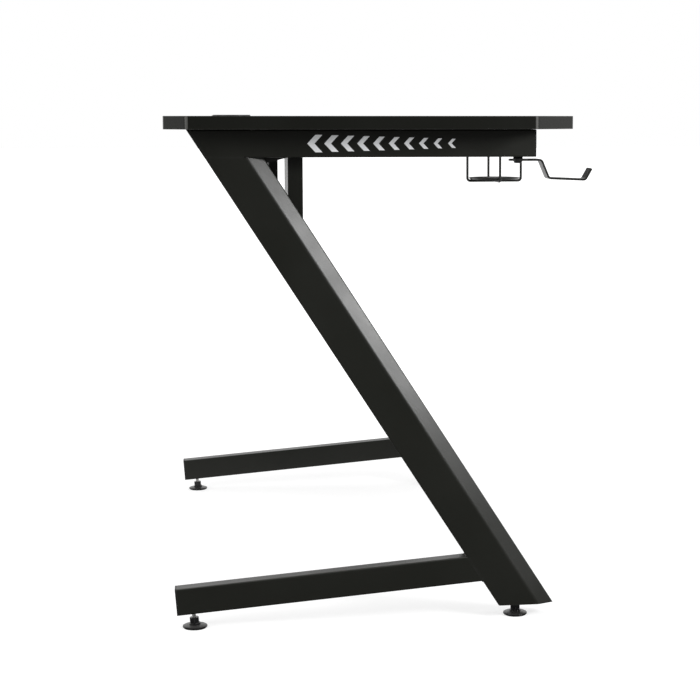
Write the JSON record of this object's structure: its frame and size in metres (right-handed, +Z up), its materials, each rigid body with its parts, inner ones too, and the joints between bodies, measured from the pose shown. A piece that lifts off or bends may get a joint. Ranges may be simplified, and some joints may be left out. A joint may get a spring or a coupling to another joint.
{
  "type": "gaming desk",
  "caption": "Gaming desk with a chamfered black top on Z-shaped steel side frames, levelling feet, chevron inlays, a cup holder and a swivelling headphone hook",
  "frame": {"origin": "on the floor, below the middle of the whole object's bounding box", "axes": "+X runs along the desk's width to the right as the person at the desk sees it, +Y points from that person to the rear, +Z is up"},
  "size_m": [1.1, 0.6984, 0.752],
  "materials": {
    "desk_laminate": "fine textured black melamine on particle board",
    "edge_plastic": "satin black edge band",
    "powder_coat": "fine matt black powder coat",
    "accessory_coat": "smooth satin black powder coat",
    "silver_film": "silver grey film with a fine dot print",
    "cap_plastic": "black moulded plastic",
    "grommet_plastic": "black moulded plastic",
    "foot_plastic": "black moulded plastic",
    "foot_collar": "black coated steel",
    "zinc_stud": "bright zinc plate",
    "zinc_steel": "zinc plate",
    "black_screw": "black zinc plate",
    "brass_insert": "plain brass",
    "black_rubber": "matt black rubber"
  },
  "bodies": {
    "desk": {"desktop_board": "desk_laminate", "edge_band": "edge_plastic", "desk_inserts": "brass_insert", "desk_screws": "black_screw", "rail_pads": "black_rubber", "left_grommet_sleeve": "grommet_plastic", "right_grommet_sleeve": "grommet_plastic", "left_top_rail": "powder_coat", "right_top_rail": "powder_coat", "left_rail_rear_plate": "powder_coat", "right_rail_rear_plate": "powder_coat", "left_rail_front_cap": "cap_plastic", "right_rail_front_cap": "cap_plastic", "left_diagonal_leg": "powder_coat", "right_diagonal_leg": "powder_coat", "left_leg_foot_plate": "powder_coat", "right_leg_foot_plate": "powder_coat", "left_base_bar": "powder_coat", "right_base_bar": "powder_coat", "left_bar_rear_cap": "cap_plastic", "right_bar_rear_cap": "cap_plastic", "left_chevrons": "silver_film", "right_chevrons": "silver_film", "corner_gussets": "powder_coat", "crossbeam": "powder_coat", "left_beam_bracket": "powder_coat", "right_beam_bracket": "powder_coat", "bracket_screws": "black_screw", "bracket_nuts": "zinc_steel", "beam_screws": "black_screw", "beam_nuts": "zinc_steel", "foot_nuts": "zinc_steel", "cup_arm": "accessory_coat", "cup_basket": "accessory_coat", "cup_tray": "accessory_coat", "cup_screws": "black_screw", "hook_screw": "black_screw", "hook_spacer": "black_rubber", "accessory_nuts": "zinc_steel"},
    "left_rear_disc": {"left_rear_foot_disc": "foot_plastic"},
    "left_rear_screw": {"left_rear_foot_hex": "foot_collar", "left_rear_foot_stud": "zinc_stud"},
    "left_front_disc": {"left_front_foot_disc": "foot_plastic"},
    "left_front_screw": {"left_front_foot_hex": "foot_collar", "left_front_foot_stud": "zinc_stud"},
    "right_rear_disc": {"right_rear_foot_disc": "foot_plastic"},
    "right_rear_screw": {"right_rear_foot_hex": "foot_collar", "right_rear_foot_stud": "zinc_stud"},
    "right_front_disc": {"right_front_foot_disc": "foot_plastic"},
    "right_front_screw": {"right_front_foot_hex": "foot_collar", "right_front_foot_stud": "zinc_stud"},
    "hook": {"hook_strip": "accessory_coat"},
    "left_cap": {"left_grommet_cap": "grommet_plastic"},
    "right_cap": {"right_grommet_cap": "grommet_plastic"}
  },
  "joints": [
    {"name": "left_rear_lift", "type": "slide", "parent": "desk", "child": "left_rear_disc", "axis": [0, 0.0802, 0.9968], "range_m": [-0.01, 0.0068]},
    {"name": "left_rear_spin", "type": "hinge", "parent": "left_rear_disc", "child": "left_rear_screw", "pos_m": [-0.4825, 0.31366, 0], "axis": [0, 0.0802, 0.9968], "range_deg": [-3605, 2453]},
    {"name": "left_front_lift", "type": "slide", "parent": "desk", "child": "left_front_disc", "axis": [0, 0, 1], "range_m": [-0.01, 0.0031]},
    {"name": "left_front_spin", "type": "hinge", "parent": "left_front_disc", "child": "left_front_screw", "pos_m": [-0.475, -0.16613, 0], "axis": [0, 0, 1], "range_deg": [-3605, 1121]},
    {"name": "right_rear_lift", "type": "slide", "parent": "desk", "child": "right_rear_disc", "axis": [0, 0.0802, 0.9968], "range_m": [-0.01, 0.0068]},
    {"name": "right_rear_spin", "type": "hinge", "parent": "right_rear_disc", "child": "right_rear_screw", "pos_m": [0.4825, 0.31366, 0], "axis": [0, 0.0802, 0.9968], "range_deg": [-3605, 2453]},
    {"name": "right_front_lift", "type": "slide", "parent": "desk", "child": "right_front_disc", "axis": [0, 0, 1], "range_m": [-0.01, 0.0031]},
    {"name": "right_front_spin", "type": "hinge", "parent": "right_front_disc", "child": "right_front_screw", "pos_m": [0.475, -0.16613, 0], "axis": [0, 0, 1], "range_deg": [-3605, 1121]},
    {"name": "hook_swivel", "type": "hinge", "parent": "desk", "child": "hook", "pos_m": [-0.475, -0.16734, 0.6858], "axis": [0, 0, 1], "range_deg": [-90, 90]},
    {"name": "left_cap_lift", "type": "slide", "parent": "desk", "child": "left_cap", "axis": [0, 0, 1], "range_m": [0, 0.015]},
    {"name": "right_cap_lift", "type": "slide", "parent": "desk", "child": "right_cap", "axis": [0, 0, 1], "range_m": [0, 0.015]}
  ],
  "couplings": [
    {"joint": "left_rear_spin", "follows": "left_rear_lift", "rad_per_m": 6283.2},
    {"joint": "left_front_spin", "follows": "left_front_lift", "rad_per_m": 6283.2},
    {"joint": "right_rear_spin", "follows": "right_rear_lift", "rad_per_m": 6283.2},
    {"joint": "right_front_spin", "follows": "right_front_lift", "rad_per_m": 6283.2}
  ]
}
